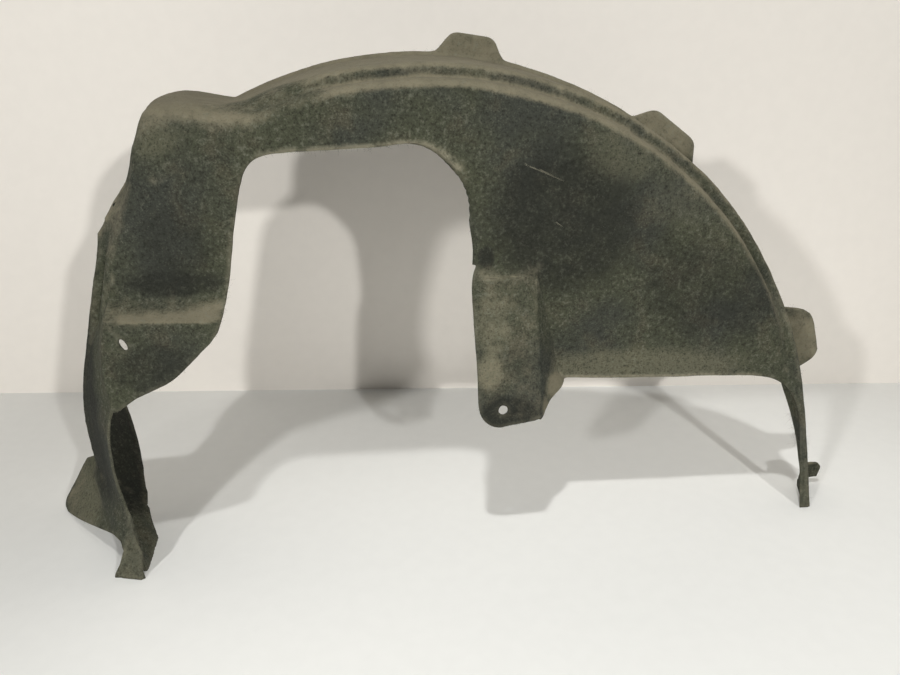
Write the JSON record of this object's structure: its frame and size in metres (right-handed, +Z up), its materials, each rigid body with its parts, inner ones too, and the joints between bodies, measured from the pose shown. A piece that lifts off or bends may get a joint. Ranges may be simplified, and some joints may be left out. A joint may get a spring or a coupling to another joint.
{
  "type": "wheel arch liner",
  "caption": "Moulded needle-felt wheel arch liner: a curved arch with a stepped rim, a tall strut cut-out, a drop tongue, a fixing pad and tabs along its lip.",
  "frame": {"origin": "bottom centre of the part's box, on the floor it stands on", "axes": "+X to the right as seen from the car body, along the part's length; +Y from the body towards the outer lip, along the wheel axle; +Z up"},
  "size_m": [0.9192, 0.2232, 0.5215],
  "materials": {
    "felt": "dusty pressed felt"
  },
  "bodies": {
    "root": {"liner": "felt"}
  },
  "joints": []
}
